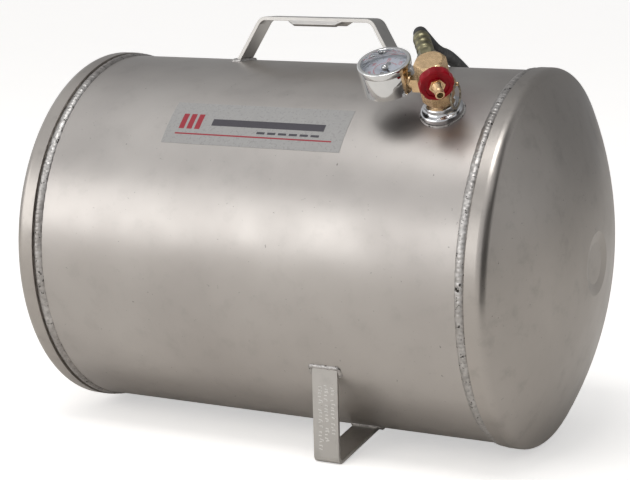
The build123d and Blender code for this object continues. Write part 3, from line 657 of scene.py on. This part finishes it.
def rounded_loop(half_a, half_b, corner, step):
    """Evenly spaced points round a rectangle with rounded corners, and its length."""
    corners = []
    for turn, (a, b) in enumerate(((1, 1), (-1, 1), (-1, -1), (1, -1))):
        centre = (a * (half_a - corner), b * (half_b - corner))
        corners += arc_points(centre, corner, 90 * turn, 90 * turn + 90, 12)
    corners.append(corners[0])
    runs = [math.dist(start, end) for start, end in zip(corners, corners[1:])]
    length = sum(runs)
    count = round(length / step)
    points, passed, run = [], 0.0, 0
    for index in range(count):
        target = length * index / count
        while passed + runs[run] < target:
            passed += runs[run]
            run += 1
        share = (target - passed) / runs[run]
        points.append(Vector(corners[run]).lerp(Vector(corners[run + 1]), share))
    return points, length


def loop_bead(x, angle, half_x, half_arc, corner, radius):
    """A bead on the shell all round something that stands on it."""
    loop, length = rounded_loop(half_x, half_arc, corner, SMALL_RIPPLE / 7)
    spots = [on_shell(x + point.x, angle + point.y / SHELL_R, -0.0003) for point in loop]
    path, ups = [spot for spot, _ in spots], [up for _, up in spots]
    return weld_bead(path, ups, length, SMALL_RIPPLE, radius, radius, True)


def make_girth_welds():
    for name, x in (("right", SEAM_X - BEAD_W / 2), ("left", BEAD_W / 2 - SEAM_X)):
        piece = mesh_piece("girth_bead_" + name, girth_bead(x))
        finish_piece(piece, "tank", WELD, ["girth_weld_" + name], 60)


def make_long_seam():
    low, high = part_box("long_seam_weld")
    middle = (low + high) / 2
    angle = math.atan2(-middle[1], middle[2] - AXIS_Z)
    length = high[0] - low[0]
    count = round(length / RIPPLE) * 7
    spots = [on_shell(low[0] + length * index / (count - 1), angle) for index in range(count)]
    path, ups = [spot for spot, _ in spots], [up for _, up in spots]
    bead = weld_bead(path, ups, length, RIPPLE, 0.0029, 0.0010, False)
    finish_piece(mesh_piece("long_seam_bead", bead), "tank", WELD, ["long_seam_weld"], 60)


def make_handle_welds():
    low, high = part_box("handle")
    beads = []
    for x in (low[0] + 0.002, high[0] - 0.002):
        beads.append(loop_bead(x, 0.0, 0.0034, (high[1] - low[1]) / 2 + 0.0012, 0.0016, 0.0021))
    finish_piece(mesh_piece("handle_beads", *beads), "tank", WELD, ["handle_welds"], 60)


def foot_ends(node):
    """A foot's middle along the tank, half its width, and the angles where its legs meet the shell."""
    low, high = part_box(node)
    side = 1 if low[1] + high[1] < 0 else -1
    reach = min(abs(low[1]), abs(high[1]))
    upper = side * (math.acos((high[2] - AXIS_Z) / SHELL_R) + STRIP_SLANT / SHELL_R)
    lower = side * (math.pi - math.asin(reach / SHELL_R) - STRIP_SLANT / SHELL_R)
    return (low[0] + high[0]) / 2, (high[0] - low[0]) / 2, (upper, lower)


def make_foot_welds():
    beads = []
    for node in ("foot_front", "foot_rear_left", "foot_rear_right"):
        x, half_width, angles = foot_ends(node)
        for angle in angles:
            beads.append(loop_bead(x, angle, half_width + 0.0014, STRIP_SLANT + 0.0012, 0.0018, 0.0021))
    finish_piece(mesh_piece("foot_beads", *beads), "tank", WELD, ["foot_welds"], 60)


def make_boss_weld():
    low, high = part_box("boss_weld")
    radius = (high[0] - low[0]) / 2 - 0.0013
    angle = math.atan2(-PORT.y, PORT.z - AXIS_Z)
    bead = loop_bead(PORT.x, angle, radius, radius, radius, 0.0012)
    finish_piece(mesh_piece("boss_bead", bead), "tank", WELD, ["boss_weld"], 60)


# Label and stamped marks


def make_label_marks():
    """Plain bars where a label would carry its print."""
    low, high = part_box("label")
    length = high[0] - low[0]
    top = math.acos((high[2] - AXIS_Z) / SHELL_R)
    bottom = math.acos((low[2] - AXIS_Z) / SHELL_R)

    def patch(left, right, upper, lower):
        angles = (top + (bottom - top) * upper, top + (bottom - top) * lower)
        return shell_patch((low[0] + length * left, low[0] + length * right), angles, LABEL_TOP, 0.00005)

    red = [patch(0.07 + 0.045 * step, 0.10 + 0.045 * step, 0.30, 0.66) for step in range(3)]
    red.append(patch(0.06, 0.94, 0.76, 0.79))
    dark = [patch(0.25, 0.88, 0.40, 0.56)]
    dark += [patch(0.52 + 0.06 * step, 0.565 + 0.06 * step, 0.65, 0.70) for step in range(6)]
    finish_piece(mesh_piece("label_red_bars", *red), "tank", LABEL_RED)
    finish_piece(mesh_piece("label_dark_bars", *dark), "tank", LABEL_DARK)


def make_punch_marks():
    """Three columns of short punched strokes down the front foot's outer leg."""
    low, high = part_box("foot_front")
    lean = math.radians(4)
    down = Vector((0, math.sin(lean), -math.cos(lean)))
    across = Vector((1, 0, 0))
    place = frame_at(Vector(((low[0] + high[0]) / 2, low[1], high[2])), across.cross(down), across)
    strokes = []
    for column, x in enumerate((-0.0062, -0.0008, 0.0048)):
        for row in range(21 - 3 * column):
            if (row * 5 + column * 3) % 7 == 0:
                continue
            start = Vector((x + 0.0003 * ((row * 3) % 4), 0.013 + 0.0027 * row + 0.0012 * column))
            end = start + Vector((0.0022 + 0.0004 * (row % 3), 0.0007 * ((row + column) % 3 - 1)))
            strokes.append(bar(place, start, end, 0.0008, -0.0002, 0.00005))
            if (row + column) % 2:
                strokes.append(bar(place, end, end + Vector((0, 0.0014)), 0.0006, -0.0002, 0.00005))
    finish_piece(mesh_piece("foot_punch_marks", *strokes), "tank", PUNCH)


# Gauge


def make_dial_marks():
    """A round scale with generic numbers, read with the stem side down."""
    place = frame_at(GAUGE, FACING, (1, 0, 0))
    low, high = DIAL_TOP - 0.0001, DIAL_TOP + 0.00005
    black, red = [], []
    for tick in range(SCALE_STEPS * 5 + 1):
        angle = math.radians(ZERO_ANGLE - FULL_TURN * tick / (SCALE_STEPS * 5))
        ray = Vector((math.cos(angle), math.sin(angle)))
        inner = SCALE_R - (0.0022 if tick % 5 == 0 else 0.0011)
        black.append(bar(place, ray * inner, ray * SCALE_R, 0.00035 if tick % 5 == 0 else 0.0002, low, high))
        if tick % 3 == 0:
            red.append(bar(place, ray * 0.0086, ray * 0.0095, 0.0003, low, high))
    for step in range(48):
        angles = [math.radians(ZERO_ANGLE - FULL_TURN * (step + end) / 48) for end in (0, 1)]
        points = [Vector((math.cos(angle), math.sin(angle))) * 0.0095 for angle in angles]
        red.append(bar(place, points[0], points[1], 0.00025, low, high))
    finish_piece(mesh_piece("dial_ticks", *black), "tank", DIAL_BLACK)
    finish_piece(mesh_piece("dial_inner_scale", *red), "tank", DIAL_RED)


def number_shape(text, place, size):
    """A number as a thin plate, in place's XY plane, its +Y up."""
    curve = bpy.data.curves.new("number", "FONT")
    curve.body = text
    curve.size = size
    curve.extrude = 0.00004
    curve.align_x = "CENTER"
    curve.align_y = "CENTER"
    holder = bpy.data.objects.new("number", curve)
    bpy.context.scene.collection.objects.link(holder)
    bpy.context.view_layer.update()
    mesh = bpy.data.meshes.new_from_object(holder.evaluated_get(bpy.context.evaluated_depsgraph_get()))
    verts = [place @ vert.co for vert in mesh.vertices]
    faces = [tuple(face.vertices) for face in mesh.polygons]
    bpy.data.objects.remove(holder)
    bpy.data.curves.remove(curve)
    bpy.data.meshes.remove(mesh)
    return verts, faces


def make_dial_numbers():
    across = FACING.cross(Vector((1, 0, 0)))
    upright = frame_at(GAUGE, FACING, across)
    shapes = []
    for number in range(0, 151, 30):
        angle = math.radians(ZERO_ANGLE - FULL_TURN * number / 150)
        spot = Vector((1, 0, 0)) * math.cos(angle) + across * math.sin(angle)
        place = Matrix.Translation(spot * 0.0128 + FACING * (DIAL_TOP + 0.00002)) @ upright
        shapes.append(number_shape(str(number), place, 0.0036))
    finish_piece(mesh_piece("dial_numbers", *shapes), "tank", DIAL_RED)


def make_gauge_back():
    """The gauge's back, with a shallow pressed ring. Its near-black colour is painted shade, standing in for
    the shade under the gauge.
    """
    low = CASE_BACK - 0.0003
    outline = [(0.00001, low + 0.0003), (0.00001, low), (0.0060, low), (0.0066, low - 0.0005)]
    outline += [(0.0100, low - 0.0005), (0.0106, low), (0.0188, low), (0.0192, low + 0.0003)]
    back = lathe(frame_at(GAUGE, FACING), outline, 96)
    finish_piece(mesh_piece("gauge_back", back), "tank", UNDERSIDE_SHADE_BLACK)


def make_needle_cap():
    """The bright domed cap on the needle's hub."""
    base = DIAL_TOP + 0.0016
    dome = arc_points((0.0, base - 0.0006), 0.0030, 90, 12, 8)
    outline = [(0.00001, base), *[(max(r, 0.00001), h) for r, h in dome], (0.0028, base)]
    cap = lathe(frame_at(GAUGE, FACING), outline, 48)
    finish_piece(mesh_piece("needle_cap", cap), "needle", STEEL)


# Valve and ring


def make_stem():
    """The hollow valve stem, threaded outside for a tyre chuck."""
    start, tip, pitch = SEAT_START, STEM_TIP, THREAD_PITCH
    outline = [(0.00255, tip), (0.0032, tip), (0.0036, tip - 0.0004), (0.0036, tip - 0.0035)]
    outline.append((0.00385, tip - 0.004))
    threads = round((tip - 0.004 - SEAT_END - 0.0006) / pitch * 8)
    outline += [(0.00385, tip - 0.004 - pitch * (step + 1) / 8) for step in range(threads)]
    outline += [(0.0044, SEAT_END), (0.0044, start + 0.0005), (0.0030, start), (0.0030, 0.0048)]
    outline += [(0.0020, 0.0045), (0.0020, 0.00345), (0.0012, 0.0051), (0.0012, 0.0200), (0.00255, 0.0200)]

    def thread(angle, height):
        if not SEAT_END + 0.0006 < height < tip - 0.0042:
            return 0.0
        turn = (height / pitch + angle / (2 * math.pi)) % 1
        return -0.00042 * abs(2 * turn - 1)

    stem = lathe(frame_at(HIGH_PORT, VALVE_OUT), outline, 72, thread)
    finish_piece(mesh_piece("threaded_stem", stem), "valve_wheel", BRASS, ["valve_spindle"])


def make_pull_ring():
    """A split ring, two turns of flattened wire side by side."""
    low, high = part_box("pull_ring")
    centre = (low + high) / 2
    wire = (high[0] - low[0]) / 4
    flat = 1.9 * wire
    radius = (high[2] - low[2]) / 2 - flat
    count = 192
    path, ups = [], []
    for index in range(count):
        turn = 2 * index / (count - 1)
        angle = math.radians(130) + 2 * math.pi * turn
        outward = Vector((0, math.cos(angle), math.sin(angle)))
        path.append(centre + outward * radius + Vector((wire * (turn - 1), 0, 0)))
        ups.append(outward)
    ring = swept(path, ups, lambda index, angle: (wire * math.sin(angle), flat * math.cos(angle)), 12, False)
    finish_piece(mesh_piece("split_ring", ring), "pull_ring", NICKEL, ["pull_ring"])


# CAD nodes that keep their shape


def finish_cad_nodes():
    finishes = {
        "shell": (MILL, 0),
        "right_head": (HEAD_METAL, 0),
        "left_head": (HEAD_METAL, 0),
        "label": (LABEL, 0),
        "handle": (STRIP_METAL, 0.0005),
        "foot_front": (STRIP_METAL, 0.0005),
        "foot_rear_left": (STRIP_METAL, 0.0005),
        "foot_rear_right": (STRIP_METAL, 0.0005),
        "port_boss": (TURNED, 0.0003),
        "manifold_body": (BRASS, 0.0002),
        "bonnet_nut": (BRASS, 0.0002),
        "packing_ring": (SEAL, 0.0002),
        "seat_disc": (SEAL, 0.0002),
        "disc_holder": (BRASS, 0.0002),
        "valve_knob": (RED, 0.0006),
        "knob_nut": (BRASS, 0.0002),
        "fill_core": (BORE_SHADE_BRASS, 0.0001),
        "fill_pin": (BORE_SHADE_BRASS, 0.0001),
        "fill_spring": (STEEL, 0),
        "relief_body": (BRASS, 0.0002),
        "relief_seal": (SEAL, 0.0001),
        "relief_stem": (BRASS, 0.0001),
        "relief_spring": (STEEL, 0),
        "gauge_case": (CHROME, 0.0003),
        "gauge_bezel": (CHROME, 0.0002),
        "gauge_lens": (GLASS, 0),
        "gauge_dial": (DIAL, 0),
        "gauge_needle": (DIAL_BLACK, 0.0001),
        "dial_screws": (STEEL, 0.0001),
        "gauge_socket": (BRASS, 0.0002),
        "bourdon_tube": (BRASS, 0),
        "movement_frame": (BRASS, 0.0001),
        "sector_gear": (BRASS, 0.0001),
        "gauge_link": (BRASS, 0.0001),
        "pinion_arbor": (STEEL, 0),
        "hose_fitting": (ZINC, 0.0002),
        "hose_ferrule": (ZINC, 0.0002),
        "tail_ferrule": (ZINC, 0.0002),
        "chuck_body": (NICKEL, 0.0003),
        "chuck_seal": (SEAL, 0),
        "chuck_pin": (BRASS, 0.0001),
    }
    for node, (material, width) in finishes.items():
        if width:
            bevelled(node, width, material)
        else:
            paint(node, material)


make_camera()
make_floor()
make_flag()
make_world()
make_lights()
make_hose()
make_girth_welds()
make_long_seam()
make_handle_welds()
make_foot_welds()
make_boss_weld()
make_label_marks()
make_punch_marks()
make_dial_marks()
make_dial_numbers()
make_gauge_back()
make_needle_cap()
make_stem()
make_pull_ring()
finish_cad_nodes()
